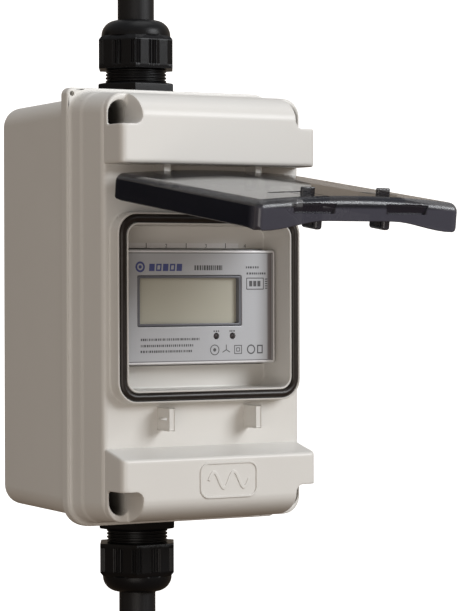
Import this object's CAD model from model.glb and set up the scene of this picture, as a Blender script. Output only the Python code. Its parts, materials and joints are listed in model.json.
import json
import random
from math import cos, hypot, pi, radians, sin, sqrt

import bmesh
import bpy
from mathutils import Matrix, Vector


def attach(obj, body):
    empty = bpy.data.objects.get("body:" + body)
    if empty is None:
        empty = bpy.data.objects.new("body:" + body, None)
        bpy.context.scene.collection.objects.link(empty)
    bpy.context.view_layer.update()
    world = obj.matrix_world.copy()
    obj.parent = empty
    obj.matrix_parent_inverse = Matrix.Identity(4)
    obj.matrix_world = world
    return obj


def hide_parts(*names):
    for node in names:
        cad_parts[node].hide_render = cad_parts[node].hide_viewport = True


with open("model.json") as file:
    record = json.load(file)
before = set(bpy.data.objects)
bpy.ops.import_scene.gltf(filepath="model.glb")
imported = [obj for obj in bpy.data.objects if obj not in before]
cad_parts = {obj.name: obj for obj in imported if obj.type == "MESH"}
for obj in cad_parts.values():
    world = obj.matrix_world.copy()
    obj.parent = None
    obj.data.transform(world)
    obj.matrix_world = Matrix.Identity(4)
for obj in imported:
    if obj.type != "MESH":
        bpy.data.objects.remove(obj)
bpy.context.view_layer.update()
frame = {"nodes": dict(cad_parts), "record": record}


# ---- The studio ----------------------------------------------------------------------------
# A white room, a large soft lamp high on the right, weaker ones on the left and above, and a
# warm glow from below. The viewer stands to the left of the meter, at its height.

MM = 0.001


def place(x, up, out):
    """A point in millimetres as seen from the front: across, up, and out from the wall."""
    return Vector((x, -out, up)) * MM


def stand_in(name, data):
    """Puts a thing into the scene."""
    thing = bpy.data.objects.new(name, data)
    bpy.context.scene.collection.objects.link(thing)
    return thing


def white_room():
    """A round white room seen only by the viewer, so that every side stands against white."""
    floor, radius, cove, ceiling, facets, steps = -1500, 4000, 900, 3500, 48, 8
    profile = [(radius - cove, floor)]
    for step in range(1, steps + 1):
        turn = radians(90 * step / steps)
        profile.append((radius - cove * (1 - sin(turn)), floor + cove * (1 - cos(turn))))
    profile.append((radius, ceiling))
    turns = [2 * pi * i / facets for i in range(facets)]
    points = [place(reach * cos(turn), up, reach * sin(turn)) for reach, up in profile for turn in turns]
    faces = [tuple(range(facets)), tuple(range(len(points) - facets, len(points)))]
    for start in range(0, len(points) - facets, facets):
        for i in range(facets):
            after = (i + 1) % facets
            faces.append((start + i, start + after, start + facets + after, start + facets + i))
    mesh = bpy.data.meshes.new("white_room")
    mesh.from_pydata(points, [], faces)
    room = stand_in("white_room", mesh)
    paper = bpy.data.materials.new("pale_paper")
    paper.use_nodes = True
    sockets = paper.node_tree.nodes["Principled BSDF"].inputs
    sockets["Base Color"].default_value = (0.93, 0.93, 0.93, 1)
    sockets["Roughness"].default_value = 0.9
    sockets["Emission Color"].default_value = (1, 1, 1, 1)
    sockets["Emission Strength"].default_value = 1
    mesh.materials.append(paper)
    room.visible_diffuse = room.visible_glossy = room.visible_shadow = False


def soft_lamp(name, spot, target, size, watts, tint):
    lamp = bpy.data.lights.new(name, "AREA")
    lamp.shape = "RECTANGLE"
    lamp.size, lamp.size_y = size
    lamp.energy = watts
    lamp.color = tint
    holder = stand_in(name, lamp)
    holder.location = spot
    holder.rotation_euler = (target - spot).to_track_quat("-Z", "Y").to_euler()


def shade_card(name, spot, width, height):
    """A black card that only gloss sees, for a dark side in shiny plastic."""
    mesh = bpy.data.meshes.new(name)
    corners = [(sx * width / 2, sy * height / 2) for sx, sy in ((-1, -1), (1, -1), (1, 1), (-1, 1))]
    mesh.from_pydata([spot + place(x, up, 0) for x, up in corners], [], [(0, 1, 2, 3)])
    card = stand_in(name, mesh)
    black = bpy.data.materials.new("black_card")
    black.use_nodes = True
    black.node_tree.nodes["Principled BSDF"].inputs["Base Color"].default_value = (0.01, 0.01, 0.01, 1)
    mesh.materials.append(black)
    card.visible_camera = card.visible_diffuse = card.visible_shadow = card.visible_transmission = False


def studio_air():
    """The glow round the part: warm and dim below, cool and bright above."""
    world = bpy.data.worlds.new("studio_air")
    bpy.context.scene.world = world
    world.use_nodes = True
    tree = world.node_tree
    backing = tree.nodes["Background"]
    look = tree.nodes.new("ShaderNodeTexCoord")
    parts = tree.nodes.new("ShaderNodeSeparateXYZ")
    height = tree.nodes.new("ShaderNodeValToRGB")
    height.color_ramp.elements[0].position = 0.0
    height.color_ramp.elements[0].color = (0.20, 0.13, 0.08, 1)
    height.color_ramp.elements[1].position = 1.0
    height.color_ramp.elements[1].color = (0.95, 0.96, 1.0, 1)
    for position, tint in ((0.42, (0.26, 0.2, 0.15, 1)), (0.5, (0.6, 0.5, 0.4, 1)),
                           (0.68, (0.66, 0.57, 0.48, 1)), (0.8, (0.85, 0.85, 0.86, 1))):
        height.color_ramp.elements.new(position).color = tint
    lift = tree.nodes.new("ShaderNodeMapRange")
    lift.inputs["From Min"].default_value = -1
    tree.links.new(look.outputs["Generated"], parts.inputs[0])
    tree.links.new(parts.outputs["Z"], lift.inputs["Value"])
    tree.links.new(lift.outputs["Result"], height.inputs["Fac"])
    tree.links.new(height.outputs["Color"], backing.inputs["Color"])
    backing.inputs["Strength"].default_value = 0.5


viewer = bpy.data.cameras.new("viewer")
viewer.lens = 157.4
viewer.clip_end = 20
stand = stand_in("viewer", viewer)
eye, aim = place(-530.81, 11.61, 974.16), place(16.64, 0.46, 81.5)
stand.matrix_world = (
    Matrix.Translation(eye)
    @ (aim - eye).to_track_quat("-Z", "Y").to_matrix().to_4x4()
    @ Matrix.Rotation(radians(-0.13), 4, "Z")
)
bpy.context.scene.camera = stand
bpy.context.scene.view_settings.view_transform = "Standard"
white_room()
studio_air()
middle = place(0, 0, 60)
soft_lamp("key_lamp", place(1500, 1150, 2300), middle, (1.5, 1.3), 64, (0.95, 0.975, 1.0))
soft_lamp("fill_lamp", place(-750, -260, 1050), middle, (0.8, 0.8), 4.4, (1.0, 0.94, 0.88))
soft_lamp("top_lamp", place(100, 900, 150), middle, (0.7, 0.5), 1.6, (1, 1, 1))
shade_card("shade_card", place(-640, 40, -900), 620, 900)


# ---- Rear base of the enclosure ------------------------------------------------------------
# A deep box moulded in light grey polycarbonate, screwed to the wall through its back. Its sides
# lean in slightly towards the wall so it leaves the mould, and its corners are well rounded.

BASE_HALF_W, BASE_HALF_H, BASE_DEPTH, BASE_CORNER = 45.8, 81.5, 57, 8
WALL, WALL_HOLE_X, WALL_HOLE_UP = 2.5, 27.5, 65
GLAND_OUT = 32.5
CORNERS = [(sx, sy) for sx in (-1, 1) for sy in (-1, 1)]


class Value:
    """A number or colour somewhere in a finish, usable in sums."""

    def __init__(self, finish, socket):
        self.finish, self.socket = finish, socket

    def math(self, operation, first, second):
        return self.finish.node("ShaderNodeMath", {"operation": operation}, first, second)

    def __add__(self, other):
        return self.math("ADD", self, other)

    __radd__ = __add__

    def __sub__(self, other):
        return self.math("SUBTRACT", self, other)

    def __rsub__(self, other):
        return self.math("SUBTRACT", other, self)

    def __mul__(self, other):
        return self.math("MULTIPLY", self, other)

    __rmul__ = __mul__

    def above(self, level, soft):
        """0 below the level and 1 over it, with a soft step between."""
        return self.finish.node(
            "ShaderNodeMapRange", {"interpolation_type": "SMOOTHSTEP"}, self, level - soft, level + soft)


class Finish:
    """A material with one glossy shader; what changes over the surface is fed to its sockets."""

    def __init__(self, name, colour, roughness, **fixed):
        self.material = bpy.data.materials.new(name)
        self.material.use_nodes = True
        self.tree = self.material.node_tree
        self.shader = self.tree.nodes["Principled BSDF"]
        self.shader.inputs["Base Color"].default_value = (*colour, 1)
        self.shader.inputs["Roughness"].default_value = roughness
        for words, value in fixed.items():
            self.shader.inputs[words.replace("_", " ").title().replace("Ior", "IOR")].default_value = value

    def node(self, kind, settings, *inputs, out=0, **named):
        made = self.tree.nodes.new(kind)
        for setting, value in settings.items():
            if setting == "stops":
                ramp = made.color_ramp
                for stop, (position, colour) in zip(ramp.elements, (value[0], value[-1])):
                    stop.position, stop.color = position, (*colour, 1)
                for position, colour in value[1:-1]:
                    ramp.elements.new(position).color = (*colour, 1)
            else:
                setattr(made, setting, value)
        for socket, value in [*zip(made.inputs, inputs), *((made.inputs[key], named[key]) for key in named)]:
            self.feed(socket, value)
        return Value(self, made.outputs[out])

    def feed(self, socket, value):
        if isinstance(value, Value):
            self.tree.links.new(value.socket, socket)
        elif value is not None:
            socket.default_value = value

    def set(self, **values):
        for words, value in values.items():
            self.feed(self.shader.inputs[words.replace("_", " ").title()], value)

    def where(self):
        return self.node("ShaderNodeTexCoord", {}, out=3)

    def stretched(self, x, y, z):
        """The place on the piece, with each direction stretched; the scale is per metre."""
        return self.node("ShaderNodeMapping", {}, Vector=self.where(), Scale=(x, y, z))

    def noise(self, scale, detail=2.0, spot=None):
        return self.node(
            "ShaderNodeTexNoise", {}, Vector=spot or self.where(), Scale=scale, Detail=detail, Roughness=0.55)

    def between(self, share, low, high):
        """A colour that runs from low to high as the share goes from 0 to 1."""
        low, high = ((*c, 1) if isinstance(c, tuple) else c for c in (low, high))
        return self.node(
            "ShaderNodeMix", {"data_type": "RGBA"}, share, None, None, None, None, None, low, high, out=2)

    def bump(self, height, depth_mm, strength=1.0):
        raised = self.node("ShaderNodeBump", {}, Strength=strength, Distance=depth_mm * MM, Height=height)
        self.feed(self.shader.inputs["Normal"], raised)


def moulded(name, low, high, roughness, grain_depth=0.02, grain=2400, **fixed):
    """Moulded plastic: fine spark-eroded grain, a faint drift of colour and smudges in the gloss."""
    finish = Finish(name, high, roughness, **fixed)
    texture = finish.noise(grain, 3.0)
    drift = finish.noise(22, 3.0)
    handling = finish.noise(90, 4.0)
    finish.set(
        base_color=finish.between(drift, low, high),
        roughness=roughness - 0.05 + 0.06 * texture + 0.08 * handling)
    finish.bump(texture + 0.15 * handling, grain_depth)
    return finish


def rounded(half_w, half_h, radii, centre=(0, 0), steps=8, along=6):
    """Points round a rectangle with rounded corners: top right, top left, bottom left, bottom right."""
    radii = radii if isinstance(radii, tuple) else (radii,) * 4
    arcs = []
    for quarter, (sx, sy) in enumerate(((1, 1), (-1, 1), (-1, -1), (1, -1))):
        r = max(radii[quarter], 0.05)
        cx, cy = centre[0] + sx * (half_w - r), centre[1] + sy * (half_h - r)
        turns = [radians(90 * (quarter + k / steps)) for k in range(steps + 1)]
        arcs.append([(cx + r * cos(turn), cy + r * sin(turn)) for turn in turns])
    points = []
    for arc, following in zip(arcs, arcs[1:] + arcs[:1]):
        (x0, y0), (x1, y1) = arc[-1], following[0]
        between = [k / along for k in range(1, along)]
        points += arc + [(x0 + (x1 - x0) * t, y0 + (y1 - y0) * t) for t in between]
    return points


def at_height(points, out):
    return [(x, up, out) for x, up in points]


def bend(start, corner, end, steps=5):
    """Values (inset, out) along a quarter round from start to end about the square corner."""
    (a0, b0), (ac, bc), (a1, b1) = start, corner, end
    path = []
    for k in range(steps + 1):
        turn = radians(90 * k / steps)
        path.append((a0 + (ac - a0) * sin(turn) + (a1 - ac) * (1 - cos(turn)),
                     b0 + (bc - b0) * sin(turn) + (b1 - bc) * (1 - cos(turn))))
    return path


def new_piece(name, form):
    bmesh.ops.recalc_face_normals(form, faces=form.faces)
    mesh = bpy.data.meshes.new(name)
    form.to_mesh(mesh)
    form.free()
    return stand_in(name, mesh)


def skin(form, rings, looped=False):
    """Faces through rings of points; open ends get flat faces."""
    loops = [[form.verts.new(place(*point)) for point in ring] for ring in rings]
    for lower, upper in zip(loops, loops[1:] + (loops[:1] if looped else [])):
        if lower is loops[-1] and not looped:
            break
        for i in range(len(lower)):
            j = (i + 1) % len(lower)
            form.faces.new((lower[i], lower[j], upper[j], upper[i]))
    if not looped:
        form.faces.new(loops[0])
        form.faces.new(loops[-1])


def loft(name, rings, looped=False):
    form = bmesh.new()
    skin(form, rings, looped)
    return new_piece(name, form)


def finished_mesh(holder):
    bpy.context.view_layer.update()
    layers = bpy.context.evaluated_depsgraph_get()
    return bpy.data.meshes.new_from_object(holder.evaluated_get(layers))


def settle(piece):
    """Applies the piece's modifiers."""
    ready = finished_mesh(piece)
    piece.modifiers.clear()
    piece.data = ready


def cut(piece, *tools):
    for tool in tools:
        change = piece.modifiers.new("cut", "BOOLEAN")
        change.operation = "DIFFERENCE"
        change.solver = "EXACT"
        change.object = tool
        settle(piece)
        bpy.data.objects.remove(tool)


def merge(*pieces):
    """Gathers pieces into the first."""
    form = bmesh.new()
    for piece in pieces:
        form.from_mesh(piece.data)
    form.to_mesh(pieces[0].data)
    form.free()
    for piece in pieces[1:]:
        bpy.data.objects.remove(piece)
    return pieces[0]


def turned(name, path, sides=48, spot=(0, 0, 0), way="out"):
    """A turned piece from (radius, height) pairs along its axis; a radius may depend on the angle."""
    rings = []
    for radius, height in path:
        ring = []
        for k in range(sides):
            turn = 2 * pi * k / sides
            r = radius(turn) if callable(radius) else radius
            a, b = r * cos(turn), r * sin(turn)
            across, up, out = {"out": (a, b, height), "up": (a, height, b), "across": (height, a, b)}[way]
            ring.append((across + spot[0], up + spot[1], out + spot[2]))
        rings.append(ring)
    return loft(name, rings)


def fit(piece, finish, slot, *nodes, body="enclosure"):
    """Gives a piece its finish, its body and the CAD nodes that it stands for."""
    piece.data.materials.clear()
    piece.data.materials.append(finish.material)
    piece.data.shade_smooth()
    piece.data.set_sharp_from_angle(angle=radians(32))
    flats = piece.modifiers.new("flats", "WEIGHTED_NORMAL")
    flats.keep_sharp = True
    flats.weight = 100
    settle(piece)
    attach(piece, body)
    if nodes:
        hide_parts(*nodes)
    return piece


def base_ring(inset, out):
    lean = 1 - out / BASE_DEPTH
    half_w, half_h = BASE_HALF_W - lean - inset, BASE_HALF_H - 1.3 * lean - inset
    return at_height(rounded(half_w, half_h, BASE_CORNER - inset), out)


enclosure_grey = moulded("enclosure_grey", (0.665, 0.65, 0.62), (0.70, 0.688, 0.66), 0.36, 0.012)
base_path = [
    *bend((4, 0), (0, 0), (0, 4), 7),
    *bend((0, BASE_DEPTH - 0.5), (0, BASE_DEPTH), (0.5, BASE_DEPTH), 3),
    *bend((2, BASE_DEPTH), (WALL, BASE_DEPTH), (WALL, BASE_DEPTH - 0.5), 3),
    *bend((WALL, 5.5), (WALL, WALL), (5.5, WALL), 4)]
rear_base = loft("rear_base_shell", [base_ring(*step) for step in base_path])
for sx, sy in CORNERS:
    cut(rear_base, turned("wall_hole", [(4.2, -1), (4.2, 0.2), (2.6, 1.6), (2.6, 4)], 32,
                          (sx * WALL_HOLE_X, sy * WALL_HOLE_UP, 0)))
seats = [
    turned("gland_seat", [(16.5, side * 79), (16.5, side * 81), (16.3, side * 81.2), (9, side * 81.2)], 64,
           (0, 0, GLAND_OUT), "up")
    for side in (1, -1)]
fit(merge(rear_base, *seats), enclosure_grey, "enclosure_plastic", "rear_base")


# ---- Front cover ---------------------------------------------------------------------------
# The lid of the enclosure in the same plastic: a flange over the base, a raised band across the
# top and the bottom with a screw pocket in each corner, and a sunk window frame between them.

LID_REAR, FLANGE_TOP, FLOOR, FRONT = 57.3, 62.5, 85, 98.6
PAD_TOP, SEAL_BED, PLATE = 91, 88.5, 72
WELL_FLOOR, WELL_LIP, SCREW_X, SCREW_UP = 66, 86.8, 38.6, 74.2
BAND_HALF_W, BAND_FLAT, BAND_SEAT, BAND_EDGE, BAND_CREST = 43.4, 72.4, 84, 2.5, 1.5
BAND_INNER, BAND_INNER_LOW, BAND_OUTER, BAND_CURVE = 54.6, 56.8, 82.2, 81
HINGE_X, HINGE_UP, HINGE_OUT = 20.5, 48.1, 93


def flange_ring(inset, out):
    radii = tuple(max(r - inset, 0.6) for r in (10, 3, 10, 3))
    return at_height(rounded(47.5 - inset, 85 - inset, radii), out)


def body_ring(inset, out):
    lean = 1.3 * min(max((out - FLANGE_TOP) / (FLOOR - FLANGE_TOP), 0), 1)
    return at_height(rounded(45.4 - lean - inset, 83 - lean - inset, 8 - inset), out)


def box_ring(half_w, half_h, radius):
    return lambda inset, out: at_height(rounded(half_w - inset, half_h - inset, radius - inset), out)


def well_outline(sx, sy, grow=0.0):
    """The well of a lid screw: square at its outer lower corner, round at the others."""
    radii = tuple(r + grow for r in (5.2, 3, 3, 0.4))
    return [(sx * x, sy * up) for x, up in rounded(4.1 + grow, 4.75 + grow, radii, (38.5, 74.25))]


def notch_outline(sx, sy):
    """The corner of a band that is left open round a well."""
    return [(sx * x, sy * up) for x, up in rounded(15, 15, (0.4, 0.4, 3, 0.4), (49.4, 84.5))]


def band_rings(upper):
    """The raised band as a stack of outlines from its foot to its front face."""
    rings = []
    for k in range(27):
        out = BAND_SEAT + (FRONT - BAND_SEAT) * sin(radians(90 * k / 26))
        over = max(out - (FRONT - BAND_EDGE), 0)
        half_w = BAND_HALF_W - BAND_EDGE + sqrt(max(BAND_EDGE ** 2 - over * over, 0))
        share = (out - BAND_CURVE) / (FRONT - BAND_CURVE)
        end = BAND_FLAT + (BAND_OUTER - BAND_FLAT) * sqrt(max(1 - share ** 2, 0))
        crest = max(out - (FRONT - BAND_CREST), 0)
        start = BAND_CREST - sqrt(max(BAND_CREST ** 2 - crest * crest, 0))
        if upper:
            start += BAND_INNER
        else:
            slope = max(FRONT - BAND_CREST - out, 0) / (FRONT - BAND_CREST - FLOOR)
            start += BAND_INNER_LOW - 3.2 * slope
        half_h, corner = (end - start) / 2, min(7, (end - start) / 2)
        outline = rounded(half_w, half_h, (corner, corner, 0.8, 0.8), (0, (end + start) / 2), 8, 10)
        rings.append([(x, up if upper else -up, out) for x, up in outline])
    return rings


def soften(piece, voxel, rounds, keep):
    """Rounds every edge over, as the mould does, by rebuilding the skin from small cells."""
    remesh = piece.modifiers.new("cells", "REMESH")
    remesh.mode = "VOXEL"
    remesh.voxel_size = voxel * MM
    ease = piece.modifiers.new("ease", "SMOOTH")
    ease.factor = 0.5
    ease.iterations = rounds
    thin = piece.modifiers.new("thin", "DECIMATE")
    thin.ratio = keep
    settle(piece)


def round_edges(form, bevel, segments):
    if bevel:
        bmesh.ops.bevel(
            form, geom=form.edges[:], offset=bevel * MM, segments=segments, profile=0.5, affect="EDGES")


def block(name, x, up, out, bevel=0.3):
    """A block between two values on each axis, with its edges rounded over."""
    form = bmesh.new()
    bmesh.ops.create_cube(form, size=1)
    low, high = place(x[0], up[0], out[0]), place(x[1], up[1], out[1])
    for vert in form.verts:
        vert.co = Vector([low[i] + (high[i] - low[i]) * (vert.co[i] + 0.5) for i in range(3)])
    round_edges(form, bevel, 2)
    return new_piece(name, form)


pad_ring, bed_ring = box_ring(41, 36.4, 8), box_ring(40.2, 35.7, 7.6)
rim_ring, tunnel_ring = box_ring(36.9, 32.4, 5), box_ring(36.2, 31.7, 4.5)
cutout_ring, well_ring = box_ring(36.1, 22.9, 0.8), box_ring(38.2, 33.7, 6.5)
lid_path = [
    (flange_ring, [(2.2, LID_REAR), *bend((0.8, LID_REAR), (0, LID_REAR), (0, 58.1)),
                   *bend((0, 61.5), (0, FLANGE_TOP), (1, FLANGE_TOP))]),
    (body_ring, [*bend((-1.7, FLANGE_TOP), (-0.5, FLANGE_TOP), (-0.5, 63.7)), (-0.5, 68.6), (-0.42, 69.4),
                 (-0.2, 70.1), (-0.04, 70.8), (0, 71.6), *bend((0, 83), (0, FLOOR), (2, FLOOR), 7)]),
    (pad_ring, [*bend((-0.7, FLOOR), (0, FLOOR), (0, 85.7), 4),
                *bend((0, 90.4), (0, PAD_TOP), (0.5, PAD_TOP), 4)]),
    (bed_ring, [(0, PAD_TOP - 0.3), (0, SEAL_BED + 0.3), (0.3, SEAL_BED)]),
    (rim_ring, [(-0.3, SEAL_BED), (0, SEAL_BED + 0.3), (0, PAD_TOP - 0.2), (0.25, PAD_TOP)]),
    (tunnel_ring, [(-0.25, PAD_TOP), (0, PAD_TOP - 0.3), (0, PLATE + 0.8), (0.25, PLATE + 0.25),
                   (0.8, PLATE)]),
    (cutout_ring, [(0, PLATE), (0, PLATE - 2.5)]),
    (well_ring, [(0, PLATE - 2.5), (0, FLOOR - 2.8)]),
    (body_ring, [(2.8, FLOOR - 2.8), (2.8, 63)]),
    (flange_ring, [(4.6, LID_REAR)]),
]
lid = loft("front_cover_shell", [make(*step) for make, steps in lid_path for step in steps], looped=True)
for sx, sy in CORNERS:
    cut(lid, loft("way", [at_height(well_outline(sx, sy, 0.5), out) for out in (60, 90)]))
for sign in (-1, 1):
    cut(lid, turned("ear_hole", [(1, 50), (1, 70)], 24, (sign * 45.2, -sign * 82.6, 0)))
fit(lid, enclosure_grey, "enclosure_plastic", "front_cover")

for upper, sy in ((True, 1), (False, -1)):
    band = loft("front_cover_band_" + ("top" if upper else "bottom"), band_rings(upper))
    for sx in (-1, 1):
        cut(band, loft("way", [at_height(well_outline(sx, sy), out) for out in (80, 99)]),
            loft("way", [at_height(notch_outline(sx, sy), out) for out in (WELL_LIP, 99)]))
    soften(band, 0.45, 3, 0.5)
    fit(band, enclosure_grey, "enclosure_plastic", "front_cover")

well_grey = moulded("well_grey", (0.665, 0.65, 0.62), (0.70, 0.688, 0.66), 0.5, 0.012)
depth = well_grey.node("ShaderNodeSeparateXYZ", {}, well_grey.where(), out=1)
dust = well_grey.noise(300, 4)
sunk = (depth + 0.001 * dust).above(-0.0815, 0.0045)
well_grey.set(base_color=well_grey.between(
    sunk, well_grey.between(dust, (0.62, 0.6, 0.56), (0.68, 0.665, 0.635)), (0.12, 0.112, 0.1)))
cup_steps = [(1, 62.6), (1, BAND_SEAT), (0, BAND_SEAT), (0, WELL_FLOOR + 0.4), (-0.4, WELL_FLOOR)]
for sx, sy in CORNERS:
    cup = loft("screw_pocket", [at_height(well_outline(sx, sy, grow), out) for grow, out in cup_steps])
    cup.name = f"screw_pocket_{'right' if sx > 0 else 'left'}_{'top' if sy > 0 else 'bottom'}"
    fit(cup, well_grey, "enclosure_plastic", "front_cover")

trims = []
knob_path = [(2.2, -1.5), (2.6, -1.1), (2.6, 1.1), (2.2, 1.5)]
pin_path = [(1.1, -4.9), (1.3, -4.7), (1.3, 4.7), (1.1, 4.9)]
for sx in (-1, 1):
    x, spot = sx * HINGE_X, (sx * HINGE_X, HINGE_UP, HINGE_OUT)
    trims.append(block("front_cover_fittings", (x - 1.5, x + 1.5), (45.6, 55.5), (84.5, 92.6), 0.5))
    trims.append(turned("knob", knob_path, 32, spot, "across"))
    trims.append(turned("pin", pin_path, 24, spot, "across"))
    hook = block("hook", sorted((sx * 18.3, sx * 20.6)), (-46.8, -38.5), (84.5, 94), 0.35)
    if sx < 0:
        cut(hook, block("sealing_slot", (-22, -17), (-43.1, -42.1), (86.8, 92.4), 0))
    trims.append(hook)
fit(merge(*trims), enclosure_grey, "enclosure_plastic", "front_cover")


# ---- Badge ---------------------------------------------------------------------------------
# A low frame moulded on the bottom band with a plain wave in it, in the same grey plastic.

BADGE_X, BADGE_UP = 3.3, -66.2

badge_steps = [(0, -0.4), (0, 0.25), (0.2, 0.45), (0.7, 0.45), (0.9, 0.25), (0.9, -0.4)]
badge = loft("badge_frame", [
    at_height(rounded(13 - inset, 7 - inset, 4 - inset, (BADGE_X, BADGE_UP)), FRONT + proud)
    for inset, proud in badge_steps], looped=True)
WAVE_LENGTH, WAVE_HEIGHT, WAVE_STEPS = 18, 3.1, 60
wave = []
for k in range(WAVE_STEPS + 1):
    t = k / WAVE_STEPS
    slope = WAVE_HEIGHT * 4 * pi / WAVE_LENGTH * cos(4 * pi * t)
    tilt = hypot(1, slope)
    x, up = BADGE_X + WAVE_LENGTH * (t - 0.5), BADGE_UP + WAVE_HEIGHT * sin(4 * pi * t)
    wave.append([(x - slope / tilt * a, up + a / tilt, FRONT - 0.05 + b)
                 for a, b in ((-0.75, -0.3), (-0.6, 0.35), (0, 0.45), (0.6, 0.35), (0.75, -0.3))])
fit(merge(badge, loft("wave", wave)), enclosure_grey, "enclosure_plastic", "front_cover")


# ---- Lid screws ----------------------------------------------------------------------------
# Quarter-turn screws in grey nylon, one at the bottom of each pocket, turned with a flat blade.

screw_grey = moulded("screw_grey", (0.13, 0.135, 0.14), (0.19, 0.195, 0.2), 0.42, 0.02, 3000)
for side, sx in (("left", -1), ("right", 1)):
    for end, sy in (("top", 1), ("bottom", -1)):
        spot = (sx * SCREW_X, sy * SCREW_UP, 0)
        screw = turned("screw_" + end + "_" + side, [
            (1.6, 42), (2, 42.5), (2, 66.3), (3.3, 66.3), (3.6, 66.6), (3.6, 68.1), (3.3, 68.5), (2.9, 68.6)],
            40, spot)
        cut(screw, block("slot", (spot[0] - 4, spot[0] + 4), (spot[1] - 0.6, spot[1] + 0.6), (67.4, 70), 0))
        fit(screw, screw_grey, "screw_plastic", f"lid_screw_{end}_{side}", body=f"screw_{end}_{side}")


# ---- Seals ---------------------------------------------------------------------------------
# Black-brown rubber: a glossy bead foamed into the groove round the window, and a flat ring
# between the base and the front cover.

seal_rubber = Finish("seal_rubber", (0.022, 0.017, 0.014), 0.3, specular_ior_level=0.35)
swell = seal_rubber.noise(260, 3)
seal_rubber.set(
    base_color=seal_rubber.between(swell, (0.012, 0.009, 0.008), (0.024, 0.018, 0.015)),
    roughness=0.26 + 0.12 * swell)
seal_rubber.bump(swell + 0.3 * seal_rubber.noise(1500, 2), 0.08)
BEAD_R, BEAD_SIDES = 1.62, 24
bead = []
for k in range(BEAD_SIDES):
    turn = 2 * pi * k / BEAD_SIDES
    inset, level = 1.65 + BEAD_R * cos(turn), 89.9 + BEAD_R * sin(turn)
    bead.append(bed_ring(inset, max(level, SEAL_BED + 0.15)))
fit(loft("window_seal_bead", bead, looped=True), seal_rubber, "seal_rubber", "window_seal")
flat_ring = box_ring(45.2, 80.9, 7.4)
flat_steps = [(0, LID_REAR), (0, 58.9), (1.4, 58.9), (1.4, LID_REAR)]
fit(loft("lid_seal_ring", [flat_ring(*step) for step in flat_steps], looped=True), seal_rubber,
    "seal_rubber", "lid_seal")


# ---- Window cover --------------------------------------------------------------------------
# A smoked, see-through polycarbonate lid over the window, on two hinge pins under the top band.
# It is moulded as a shallow bowed tray; two slots beside its latches let their roots bend.

OPEN = radians(82.7)
COVER_HALF_W, COVER_TOP_V, COVER_END_V = 42.9, -2.5, 101.8


def on_cover(x, v, w):
    """A point on the open cover: across, from the hinge line to the free edge, out of its face."""
    return (x, HINGE_UP - v * cos(OPEN) + w * sin(OPEN), HINGE_OUT + v * sin(OPEN) + w * cos(OPEN))


def crown(x):
    return 2.7 + 2 * (1 - (x / COVER_HALF_W) ** 2)


def smooth_step(t):
    t = min(max(t, 0), 1)
    return t * t * (3 - 2 * t)


def skirt_edge(x, v):
    """How far the skirt reaches: deep at the sides, arched at the free edge, none at the hinge."""
    corner = smooth_step((abs(x) - 40.5) / 2.4) * smooth_step((v - 99.4) / 2.4)
    if v > COVER_END_V - 3.5:
        return -4.1 - 3.6 * smooth_step((abs(x) - 14) / 26) + 2.2 * corner
    if v < 2.5:
        return -1 if abs(x) < 39 and v < 0 else -7.2 + 5 * (1 - sqrt(max(1 - ((2.5 - v) / 5) ** 2, 0)))
    return -7.2 + 2 * corner


def cover_plan(inset):
    half_length, centre = (COVER_END_V - COVER_TOP_V) / 2, (0, (COVER_END_V + COVER_TOP_V) / 2)
    radii = tuple(max(r - inset, 0.5) for r in (2.4, 2.4, 3, 3))
    return rounded(COVER_HALF_W - inset, half_length - inset, radii, centre, 8, 24)


def cover_ring(inset, level):
    """level is the height over each point: a function of its place."""
    return [on_cover(x, v, level(x, v)) for x, v in cover_plan(inset)]


smoke = Finish("smoked_plastic", (0.02, 0.022, 0.032), 0.07, coat_weight=0.2, coat_roughness=0.04, ior=1.5)
scuffs = smoke.noise(420, 5, smoke.stretched(1, 0.3, 1))
haze = smoke.noise(30, 3)
side_way, back_way, up_way = (smoke.node("ShaderNodeSeparateXYZ", {}, smoke.where(), out=k) for k in range(3))
rise, reach = up_way - HINGE_UP * MM, back_way * -1 - HINGE_OUT * MM
along, proud = reach * sin(OPEN) - rise * cos(OPEN), rise * sin(OPEN) + reach * cos(OPEN)
off_middle = side_way.math("ABSOLUTE", side_way, 0)
in_skirt = 1 - proud.above(0.0006, 0.0006)
in_recess = (off_middle.above(0.0108, 0.0004) * (1 - off_middle.above(0.0284, 0.0006))
             * along.above(0.0998, 0.0004) * proud.above(-0.0014, 0.0003) * (1 - proud.above(0.0024, 0.0003)))
tint = smoke.between(haze, (0.006, 0.007, 0.012), (0.014, 0.015, 0.024))
tint = smoke.between(in_skirt * along.above(0.097, 0.002), tint, (0.05, 0.05, 0.068))
smoke.set(
    base_color=smoke.between(in_recess, tint, (0.014, 0.013, 0.02)),
    roughness=0.05 + 0.05 * haze + 0.06 * scuffs.above(0.62, 0.06) + 0.2 * along.above(0.0982, 0.001),
    alpha=0.7 + 0.06 * haze + 0.2 * in_skirt + 0.04 * in_recess)
smoke.bump(haze, 0.05, 0.4)
outer = [
    (0.25, lambda x, v: skirt_edge(x, v)), (0, lambda x, v: skirt_edge(x, v) + 0.3),
    (0, lambda x, v: crown(x) - 3.2)]
for inset, drop in bend((0, 3.2), (0, 0), (3.2, 0), 8)[1:]:
    outer.append((inset, lambda x, v, drop=drop: crown(x) - drop))
outer += [(inset, lambda x, v: crown(x)) for inset in (8, 15, 22, 30, 37, 41.8)]
inner = [(inset, lambda x, v: crown(x) - 2) for inset in (41.8, 37, 30, 22, 15, 8, 3)]
inner += [(1.7, lambda x, v: crown(x) - 2.6), (1.5, lambda x, v: crown(x) - 3.4),
          (1.5, lambda x, v: min(skirt_edge(x, v) + 0.3, crown(x) - 3.5)),
          (1.25, lambda x, v: min(skirt_edge(x, v), crown(x) - 3.6))]
form = bmesh.new()
loops = [[form.verts.new(place(*point)) for point in cover_ring(*step)] for step in outer + inner]
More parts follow.
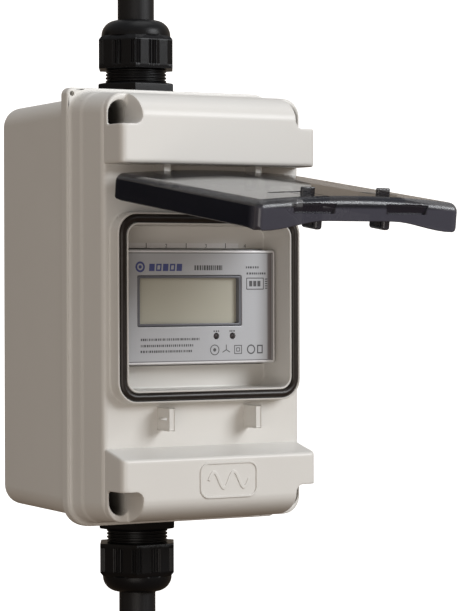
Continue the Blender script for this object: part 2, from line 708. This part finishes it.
for lower, upper in zip(loops, loops[1:] + loops[:1]):
    if lower is loops[len(outer) - 1]:
        continue
    for i in range(len(lower)):
        j = (i + 1) % len(lower)
        form.faces.new((lower[i], lower[j], upper[j], upper[i]))
form.faces.new(loops[len(outer) - 1])
form.faces.new(loops[len(outer)])
cover = new_piece("window_cover_shell", form)


def cover_block(name, x, v, w, bevel=0.25, segments=2):
    """A block in the cover's own directions."""
    form = bmesh.new()
    bmesh.ops.create_cube(form, size=1)
    for vert in form.verts:
        spans = [pair[0] + (pair[1] - pair[0]) * (vert.co[i] + 0.5) for i, pair in enumerate((x, v, w))]
        vert.co = Vector(spans) * MM
    round_edges(form, bevel, segments)
    for vert in form.verts:
        vert.co = place(*on_cover(*(vert.co / MM)))
    return new_piece(name, form)


def cover_prism(name, outline, low, high):
    """A straight prism through the cover; its outline is (x, v)."""
    return loft(name, [[on_cover(x, v, level) for x, v in outline] for level in (low, high)])


for side in (-1, 1):
    finger = [[on_cover(side * x, COVER_END_V + depth, w) for x, w, depth in (
        (10.4, 2.2, deep[0]), (11.6, -1.5, deep[1]), (27.6, -1.5, deep[1]), (29.2, 2.2, deep[0]))]
        for deep in ((-0.2, -1.1), (3, 3))]
    cut(cover, loft("finger_recess", finger))
    bay = [(12.4, 100), (12.4, 85), (12.2, 84.6), (12.2, 81.6), (26.6, 81.6), (28, 83.1), (26.6, 84.6),
           (19.7, 84.6), (19.7, 100)]
    cut(cover, cover_prism("latch_bay", [(side * x, v) for x, v in bay], -1, 9))
    notch = [(18.6, -4), (22.4, -4), (22.4, 3.4), (18.6, 3.4)]
    cut(cover, cover_prism("hinge_notch", [(side * x, v) for x, v in notch], -9, 9))
eyes = []
eye_turns = [2 * pi * k / 28 for k in range(28)]
for side in (-1, 1):
    for low, high in ((16, 18.6), (22.4, 25)):
        rings = []
        for radius, x in ((1.6, low), (2.2, low), (2.5, low + 0.3), (2.5, high - 0.3), (2.2, high),
                          (1.6, high)):
            rings.append([on_cover(side * x, radius * cos(turn), radius * sin(turn)) for turn in eye_turns])
        eyes.append(loft("eye", rings, looped=True))
        edges = sorted((side * low, side * high))
        eyes.append(cover_block("eye_web", edges, (-2.1, 2.1), (1.5, 3.2), 0.2))
fit(merge(cover, *eyes), smoke, "smoked_plastic", "window_cover", body="cover")


# ---- Cover latches -------------------------------------------------------------------------
# Two sprung tongues at the cover's free edge, moulded in the same smoked plastic. Each has a
# thumb tab outside and a hooked loop inside that drops over a plate on the front cover.

for side, name in ((-1, "left"), (1, "right")):
    flap_rings = []
    flap_steps = [(0.3, -1.9), (0, -1.6), (0, -0.3), (0.3, 0), (1.5, 0)]
    for inset, drop in flap_steps:
        outline = rounded(3.25 - inset, 7.35 - inset, 0.7, (side * 16.05, 92.25), 4, 4)
        flap_rings.append([on_cover(x, v, crown(x) + drop) for x, v in outline])
    flap = loft(f"latch_{name}", flap_rings)
    tab = cover_block("tab", sorted((side * 13.4, side * 18.8)), (90.2, 92), (3.4, 7), 0.5, 3)
    loop = cover_block("loop", sorted((side * 12.9, side * 16.1)), (87.8, 97.5), (-7.7, 3.2), 1.1, 4)
    cut(loop, cover_block("loop_window", sorted((side * 10, side * 20)), (91.4, 95.4), (-6.3, -2.6), 0))
    fit(merge(flap, tab, loop), smoke, "smoked_plastic", f"cover_latch_{name}", body=f"{name}_latch")


# ---- Cable glands --------------------------------------------------------------------------
# M25 glands in black nylon, one above and one below: a body screwed through the box with a
# six-sided flange, and a six-sided cap nut with grip ribs and a domed end that squeezes a
# rubber ring round the cable. A locknut holds the body from inside.

gland_black = moulded(
    "gland_black", (0.004, 0.004, 0.0045), (0.009, 0.009, 0.01), 0.3, 0.02, 2600, specular_ior_level=0.16)


def hexagon(flats, ribs=0.0):
    """Radius by angle of a hexagon with two corners on its left and right; ribs stand on each
    corner and on the middle of each flat."""
    def radius(turn):
        off = turn % (pi / 3) - pi / 6
        r = flats / 2 / cos(off)
        if ribs and (abs(off) < 0.15 or abs(off) > pi / 6 - 0.13):
            r -= ribs * (0.5 + 0.5 * cos(off * 118))
        return r
    return radius


def ringed(name, path, sign, sides):
    """A hollow gland part from (radius, height) pairs that run once round its section."""
    rings = []
    for radius, up in path:
        turns = [2 * pi * k / sides for k in range(sides)]
        reach = [radius(turn) if callable(radius) else radius for turn in turns]
        rings.append([(r * cos(t), sign * up, GLAND_OUT + r * sin(t)) for r, t in zip(reach, turns)])
    return loft(name, rings, looped=True)


body_path = [(12.2, 70.5), (12.2, 81.5), (hexagon(29.6), 81.5), (hexagon(30), 81.8), (hexagon(30), 88.7),
             (hexagon(29.4), 89.2), (12.9, 89.9)]
for turn in range(4):
    foot = 90 + 1.35 * turn
    body_path += [(11.7, foot), (12.25, foot + 0.35), (12.25, foot + 0.75), (11.7, foot + 1.1)]
body_path += [(11.2, 99.2), (11.2, 103), (9.3, 103), (9.3, 70.5)]
cap_path = [(11.8, 95.3), (13.2, 95.3), (hexagon(29.4), 95.3), (hexagon(29.6), 95.5), (hexagon(29.6), 96.9),
            (hexagon(29.6, 0.45), 97.2), (hexagon(29.6, 0.45), 106.3), (hexagon(29.6), 106.6),
            (hexagon(29.4), 107.1), (hexagon(27.2), 108.4), (13.95, 108.7), (13.95, 109)]
cap_path += [(7.95 + 6 * cos(radians(a)), 109 + 6.15 * sin(radians(a))) for a in range(8, 91, 8)]
cap_path += [(7.7, 114.9), (7.6, 114.2), (7.9, 110), (11.5, 106), (11.5, 97)]
for where, sign in (("top", 1), ("bottom", -1)):
    for part, path, sides in ((f"gland_body_{where}", body_path, 144), (f"gland_cap_{where}", cap_path, 432)):
        fit(ringed(f"{part}_turned", path, sign, sides), gland_black, "gland_nylon", part)


# ---- Cables --------------------------------------------------------------------------------
# A black rubber-sheathed five-core cable leaves each gland. The sheath is cut back just past the
# gland and the cores, bared and crimped in tinned ferrules, stand ready to be joined on.

CORE_R, CORE_RING, SHEATH_R, SHEATH_END, TAIL_END = 1.85, 3.9, 7.35, 125.5, 139.5
sheath_black = Finish("sheath_black", (0.01, 0.01, 0.011), 0.5, specular_ior_level=0.25)
streaks = sheath_black.noise(900, 3, sheath_black.stretched(1, 1, 0.06))
sheath_black.set(
    base_color=sheath_black.between(streaks, (0.005, 0.005, 0.006), (0.012, 0.012, 0.013)),
    roughness=0.36 + 0.2 * streaks)
sheath_black.bump(streaks, 0.06)
core_tints = {
    "brown": ((0.09, 0.03, 0.014), (0.13, 0.05, 0.024)),
    "black": ((0.008, 0.008, 0.008), (0.018, 0.018, 0.018)),
    "grey": ((0.17, 0.18, 0.19), (0.23, 0.24, 0.25)),
    "blue": ((0.012, 0.05, 0.26), (0.025, 0.09, 0.36)),
    "green_yellow": ((0.02, 0.2, 0.03), (0.04, 0.28, 0.05))}
core_names = list(core_tints)
tinned = Finish("tinned_copper", (0.62, 0.6, 0.56), 0.3, metallic=1.0)
crimp = tinned.noise(1800, 3)
tinned.set(
    base_color=tinned.between(crimp, (0.5, 0.48, 0.44), (0.7, 0.68, 0.64)), roughness=0.22 + 0.2 * crimp)
tinned.bump(crimp, 0.02)


def core_finish(name):
    finish = Finish(f"core_{name}", core_tints[name][1], 0.35)
    mottle = finish.noise(500, 3)
    tint = finish.between(mottle, *core_tints[name])
    if name == "green_yellow":
        across = finish.node("ShaderNodeSeparateXYZ", {}, finish.where())
        stripe = (across * 1900).math("SINE", across * 1900, 0).above(0.1, 0.05)
        tint = finish.between(stripe, tint, (0.75, 0.55, 0.02))
    finish.set(base_color=tint, roughness=0.3 + 0.15 * mottle)
    finish.bump(mottle, 0.02)
    return finish


def core_spot(index):
    turn = radians(72 * ([1, 0, 4, 3, 2][index] - 2)) + 1.5 * pi
    return CORE_RING * cos(turn), CORE_RING * sin(turn)


def core_route(index, sign):
    """The way of one core, from its bare end outside to its terminal in the meter."""
    x, z = core_spot(index)
    deep = GLAND_OUT + z
    route = [(x * 1.12, sign * 134, GLAND_OUT + z * 1.12), (x, sign * 127.5, deep), (x, sign * 100, deep),
             (x, sign * 73, deep), (x, sign * 70, deep)]
    if index < 4:
        line = -27 + 18 * index
        return route + [(x + (line - x) * 0.3, sign * 66, deep + (52 - deep) * 0.35),
                        (line - (line - x) * 0.12, sign * 57, 50), (line, sign * 51, 52),
                        (line, sign * 44, 52)]
    if sign > 0:
        return route + [(x + 9, 66.5, 25), (30, 59, 25), (38.6, 49, 26), (39, 36, 26), (39, -36, 26),
                        (38.6, -44, 18), (37.4, -51, 11.8), (37.2, -59, 11.5)]
    return route + [(x + 1, -66, 26.5), (11, -61.4, 15), (22, -60.5, 11), (32, -60.5, 11)]


def flexible(name, route, radius, sides=6):
    """A round conductor along a smooth route."""
    curve = bpy.data.curves.new(name, "CURVE")
    curve.dimensions = "3D"
    curve.bevel_depth = radius * MM
    curve.bevel_resolution = sides
    curve.use_fill_caps = True
    line = curve.splines.new("BEZIER")
    line.bezier_points.add(len(route) - 1)
    for point, spot in zip(line.bezier_points, route):
        point.co = place(*spot)
        point.handle_left_type = point.handle_right_type = "AUTO"
    holder = stand_in(name, curve)
    mesh = finished_mesh(holder)
    bpy.data.objects.remove(holder)
    return stand_in(name, mesh)


core_finishes = {name: core_finish(name) for name in core_names}
for where, sign in (("top", 1), ("bottom", -1)):
    sheath = turned(f"cable_{where}_sheath", [
        (6.9, sign * 73), (SHEATH_R, sign * 73.4), (SHEATH_R, sign * 124.9), (SHEATH_R - 0.2, sign * 125.3),
        (SHEATH_R - 0.6, sign * SHEATH_END)], 64, (0, 0, GLAND_OUT), "up")
    for index in range(5):
        x, z = core_spot(index)
        cut(sheath, turned("way", [(CORE_R + 0.15, sign * 110), (CORE_R + 0.15, sign * 130)], 24,
                           (x, 0, GLAND_OUT + z), "up"))
    fit(sheath, sheath_black, "cable_sheath", f"cable_sheath_{where}")
    for index, name in enumerate(core_names):
        core = flexible(f"conductor_{name}_{where}", core_route(index, sign), CORE_R)
        fit(core, core_finishes[name], f"core_{name}", f"core_{name}_{where}")
        x, z = core_spot(index)
        tip = turned(f"ferrule_{name}_{where}", [
            (1.2, sign * 132), (1.95, sign * 132.2), (1.95, sign * 133.6), (1.3, sign * 134.4),
            (1.1, sign * 135), (1.1, sign * 139), (0.9, sign * 139.3)],
            24, (x * 1.15, 0, GLAND_OUT + z * 1.15), "up")
        fit(tip, tinned, f"core_{name}")


# ---- Meter front ---------------------------------------------------------------------------
# The meter's face is a silver-grey panel let into its white case, with a small window over the
# display and two unlit test lamps. The rest of the case sits behind the lid.

PANEL_FRONT = 81.5
LCD_X, LCD_UP = (-27.1, 19.8), (-7.5, 12.3)
LAMP_X, LAMP_UP = (8.1, 15.5), -11.4
panel_silver = Finish("panel_silver", (0.45, 0.46, 0.485), 0.38, metallic=0.15)
flake = panel_silver.noise(5200, 2)
wash = panel_silver.noise(40, 2)
width_way, height_way = (
    panel_silver.node("ShaderNodeSeparateXYZ", {}, panel_silver.where(), out=k) for k in (0, 2))
from_side, from_level = width_way.math("ABSOLUTE", width_way, 0), height_way.math("ABSOLUTE", height_way, 0)
turned_edge = width_way.above(0.0316, 0.0006) * (1 - width_way.above(0.0336, 0.0002))
rim = 1 - (1 - from_side.above(0.0342, 0.0001)) * (1 - from_level.above(0.0212, 0.0001))
groove = 1 - (1 - from_side.above(0.0338, 0.0001)) * (1 - from_level.above(0.0208, 0.0001))
silver = panel_silver.between(flake * 0.6 + wash * 0.4, (0.40, 0.41, 0.435), (0.52, 0.53, 0.555))
silver = panel_silver.between(turned_edge, silver, (0.19, 0.17, 0.175))
silver = panel_silver.between(groove, silver, (0.2, 0.2, 0.21))
panel_silver.set(
    base_color=panel_silver.between(rim, silver, (0.8, 0.8, 0.82)), roughness=0.32 + 0.12 * flake)
panel_silver.bump(flake, 0.012)


def framed(name, outer, inner, levels, radius=0.8):
    """A flat frame between two boxes of (x0, x1, up0, up1), rounded on its front edges."""
    def ring(box, inset, out, r):
        x0, x1, y0, y1 = box
        return at_height(rounded((x1 - x0) / 2 - inset, (y1 - y0) / 2 - inset, max(r - inset, 0.1),
                                 ((x0 + x1) / 2, (y0 + y1) / 2), 5, 4), out)
    back, front = levels
    outside = [(0, back), (0, front - 0.5), (0.15, front - 0.15), (0.5, front)]
    inside = [(-0.3, front), (-0.1, front - 0.1), (0, front - 0.3), (0, back)]
    rings = [ring(outer, *step, radius) for step in outside] + [ring(inner, *step, 0.6) for step in inside]
    return loft(name, rings, looped=True)


panel = framed("meter_face", (-35.2, 35.2, -22, 22), (*LCD_X, *LCD_UP), (PANEL_FRONT - 1.5, PANEL_FRONT))
for x in LAMP_X:
    cut(panel, turned("lamp_hole", [(1.3, 70), (1.3, 99)], 32, (x, LAMP_UP, 0)))
fit(panel, panel_silver, "panel_silver", "meter_front_panel")

bezel_grey = moulded("bezel_grey", (0.12, 0.125, 0.145), (0.16, 0.165, 0.19), 0.4)
bezel = framed(
    "display_bezel", (LCD_X[0] + 0.1, LCD_X[1] - 0.1, LCD_UP[0] + 0.1, LCD_UP[1] - 0.1),
    (LCD_X[0] + 1.2, LCD_X[1] - 1.2, LCD_UP[0] + 1.1, LCD_UP[1] - 1.1), (77, PANEL_FRONT - 0.25), 0.6)
fit(bezel, bezel_grey, "display_glass")

glass = Finish("display_glass", (0.47, 0.455, 0.38), 0.2, coat_weight=0.1, coat_roughness=0.1)
cells = glass.noise(30, 2)
dots = glass.node("ShaderNodeTexVoronoi", {"feature": "F1"}, Vector=glass.where(), Scale=2600)
glass.set(
    base_color=glass.between(cells, (0.43, 0.42, 0.35), (0.51, 0.495, 0.42)), roughness=0.2 + 0.06 * dots)
glass.bump(dots, 0.004)
pane = block(
    "display_pane", (LCD_X[0] + 0.9, LCD_X[1] - 0.9), (LCD_UP[0] + 0.8, LCD_UP[1] - 0.8), (74.2, 79), 0.2)
fit(pane, glass, "display_glass", "meter_display")

lamp_dark = Finish("lamp_dark", (0.05, 0.045, 0.05), 0.35, specular_ior_level=0.25)
tinge = lamp_dark.noise(900, 2)
lamp_dark.set(
    base_color=lamp_dark.between(tinge, (0.04, 0.034, 0.037), (0.07, 0.055, 0.06)),
    roughness=0.3 + 0.1 * tinge)
dome = [(cos(radians(a)), 80.6 + 0.8 * sin(radians(a))) for a in range(15, 90, 15)]
for name, x in zip(("left", "right"), LAMP_X):
    lamp = turned(f"lamp_{name}", [(1, 74), (1, 80.6), *dome, (0.06, 81.4)], 28, (x, LAMP_UP, 0))
    fit(lamp, lamp_dark, "led_lens", f"status_led_{name}")


# ---- Printed marks -------------------------------------------------------------------------
# Pad-printed ink on the meter's face, with plain shapes only, and a white paper strip on the plate
# above it that numbers the four module places.

INK_THICK = 0.03


def film(form, outline, hole=None, out=PANEL_FRONT):
    """One printed shape, with a hole where its outline has one."""
    levels = (out - 0.05, out + INK_THICK)
    if hole:
        skin(form, [at_height(outline, levels[0]), at_height(outline, levels[1]),
                    at_height(hole, levels[1]), at_height(hole, levels[0])], looped=True)
    else:
        skin(form, [at_height(outline, level) for level in levels])


def bar(x0, x1, up0, up1, lean=0.0):
    return [(x0, up0), (x1, up0), (x1 + lean, up1), (x0 + lean, up1)]


def disc(x, up, radius, sides=28):
    turns = [2 * pi * k / sides for k in range(sides)]
    return [(x + radius * cos(turn), up + radius * sin(turn)) for turn in turns]


def ink(name, tint):
    """Matt printing ink, a little thin in places."""
    finish = Finish(name, tint, 0.55)
    thin = finish.noise(2600, 3)
    faded = tuple(c * 0.75 + 0.06 for c in tint)
    finish.set(base_color=finish.between(thin, tint, faded), roughness=0.5 + 0.1 * thin)
    finish.bump(thin, 0.004)
    return finish


dark_ink, blue_ink = ink("dark_ink", (0.06, 0.06, 0.065)), ink("blue_ink", (0.045, 0.06, 0.24))
strokes = random.Random(5)
dark = bmesh.new()
for x0, x1, up0, up1, short, long in (
        (-1.8, 10.8, 14.3, 16.2, 0.35, 0.9), (21.7, 27.7, 15, 15.8, 0.5, 0.9),
        (22, 31.2, 12.6, 13.4, 0.5, 0.9), (-25.8, 0.4, -12.9, -12, 0.25, 0.75),
        (-25.8, -2.1, -15.3, -14.4, 0.25, 0.75), (-25.9, -2.5, -17.5, -16.6, 0.25, 0.75),
        (6.8, 9.3, -9.8, -9.2, 0.4, 0.7), (14.1, 16.8, -9.8, -9.2, 0.4, 0.7)):
    x = x0
    while x < x1 - short:
        width = min(strokes.uniform(short, long), x1 - x)
        film(dark, bar(x, x + width, up0, up1))
        x += width + strokes.uniform(0.25, 0.45)
film(dark, rounded(4.05, 2.35, 0.3, (25.9, 9)), rounded(3.7, 2, 0.2, (25.9, 9)))
for k in range(3):
    film(dark, bar(23.2 + 1.9 * k, 24.6 + 1.9 * k, 7.9, 10.1))
for k in range(5):
    film(dark, bar(30.5, 31.6, 7 + 0.9 * k, 7.4 + 0.9 * k))
ROW_UP = -16.8
film(dark, disc(7.3, ROW_UP, 2.1), disc(7.3, ROW_UP, 1.75))
film(dark, disc(7.3, ROW_UP, 0.7))
for angle in (90, 210, 330):
    a, b = cos(radians(angle)), sin(radians(angle))
    arm = ((0, 0.17), (2, 0.17), (2, -0.17), (0, -0.17))
    film(dark, [(12.6 + t * a - w * b, ROW_UP + t * b + w * a) for t, w in arm])
for half in (1.75, 0.8):
    film(dark, rounded(half, half, 0.1, (18, ROW_UP)), rounded(half - 0.3, half - 0.3, 0.1, (18, ROW_UP)))
film(dark, disc(24, ROW_UP, 1.9), disc(24, ROW_UP, 1.4))
film(dark, bar(26.8, 29.4, -18.5, -15.1), bar(27.3, 28.9, -18, -15.6))
fit(new_piece("meter_face_ink", dark), dark_ink, "panel_silver")
blue = bmesh.new()
film(blue, disc(-26, 15.6, 2.1), disc(-26, 15.6, 1.3))
film(blue, disc(-26, 15.6, 0.7))
for k in range(5):
    x = -22.1 + 3.05 * k
    gap = bar(x + 0.6, x + 1.75, 14.6, 16.2, 0.2) if k % 2 else None
    film(blue, bar(x, x + 2.4, 14, 16.8, 0.2), gap)
fit(new_piece("meter_face_blue_ink", blue), blue_ink, "panel_silver")

MODULE, STRIP_FOOT, STRIP_HEAD, STRIP_OUT = 18, 22.95, 24.95, PLATE + 0.12
strip_paper = Finish("strip_paper", (0.8, 0.79, 0.79), 0.6)
fibre = strip_paper.noise(1900, 4)
strip_paper.set(
    base_color=strip_paper.between(fibre, (0.74, 0.73, 0.73), (0.82, 0.81, 0.81)),
    roughness=0.55 + 0.1 * fibre)
strip_paper.bump(fibre, 0.01)
strip = block("module_strip", (-35.9, 24), (STRIP_FOOT, STRIP_HEAD), (PLATE - 0.1, STRIP_OUT), 0.03)
fit(strip, strip_paper, "enclosure_plastic")
marks = bmesh.new()
for k in range(3):
    x = MODULE * (k - 1)
    film(marks, bar(x - 0.15, x + 0.15, STRIP_FOOT, STRIP_HEAD), out=STRIP_OUT)
numbers = [new_piece("strip_marks", marks)]
for k in range(4):
    text = bpy.data.curves.new("number", "FONT")
    text.body = str(k + 1)
    text.size, text.extrude, text.align_x = 2.1 * MM, 0.02 * MM, "CENTER"
    holder = stand_in("number", text)
    mesh = finished_mesh(holder)
    bpy.data.objects.remove(holder)
    spot = place(MODULE * (k - 1.5), 23.2, STRIP_OUT)
    mesh.transform(Matrix.Translation(spot) @ Matrix.Rotation(pi / 2, 4, "X"))
    numbers.append(bpy.data.objects.new("number", mesh))
fit(merge(*numbers), dark_ink, "enclosure_plastic")


# ---- Other parts in the box ----------------------------------------------------------------
# What the lid hides keeps its CAD shape and gets the finish of its kind: zinc-plated steel rail
# and screws, a brass earth block, copper busbars, and the meter's case, board and clip.


def metal(name, low, high, roughness, drawn=(1, 1, 1)):
    """Plated or bare metal with a fine drawn grain."""
    finish = Finish(name, high, roughness, metallic=1.0)
    lines = finish.noise(2400, 3, finish.stretched(*drawn))
    cloud = finish.noise(60, 3)
    finish.set(
        base_color=finish.between(cloud, low, high), roughness=roughness - 0.06 + 0.12 * lines + 0.06 * cloud)
    finish.bump(lines, 0.015)
    return finish


kinds = {
    "enclosure_plastic": enclosure_grey, "smoked_plastic": smoke, "seal_rubber": seal_rubber,
    "gland_nylon": gland_black, "cable_sheath": sheath_black, "screw_plastic": screw_grey,
    "panel_silver": panel_silver, "display_glass": glass, "led_lens": lamp_dark,
    "zinc_steel": metal("zinc_steel", (0.5, 0.51, 0.53), (0.62, 0.63, 0.65), 0.34, (0.08, 1, 1)),
    "brass": metal("brass", (0.58, 0.42, 0.17), (0.7, 0.53, 0.24), 0.3),
    "copper": metal("copper", (0.62, 0.3, 0.17), (0.78, 0.42, 0.27), 0.3, (1, 1, 0.1)),
    "meter_plastic": moulded("meter_white", (0.66, 0.66, 0.67), (0.72, 0.72, 0.73), 0.42),
    "board_green": moulded("board_green", (0.012, 0.08, 0.03), (0.02, 0.13, 0.05), 0.3),
    "transformer_case": moulded("transformer_case", (0.015, 0.016, 0.02), (0.03, 0.032, 0.036), 0.45),
    "clip_plastic": moulded("clip_green", (0.04, 0.1, 0.06), (0.06, 0.14, 0.08), 0.4),
}
for name in core_names:
    kinds[f"core_{name}"] = core_finishes[name]
for row in frame["record"]["subparts"]:
    for place_for_finish in frame["nodes"][row["node"]].material_slots:
        place_for_finish.material = kinds[row["material_slot"]].material
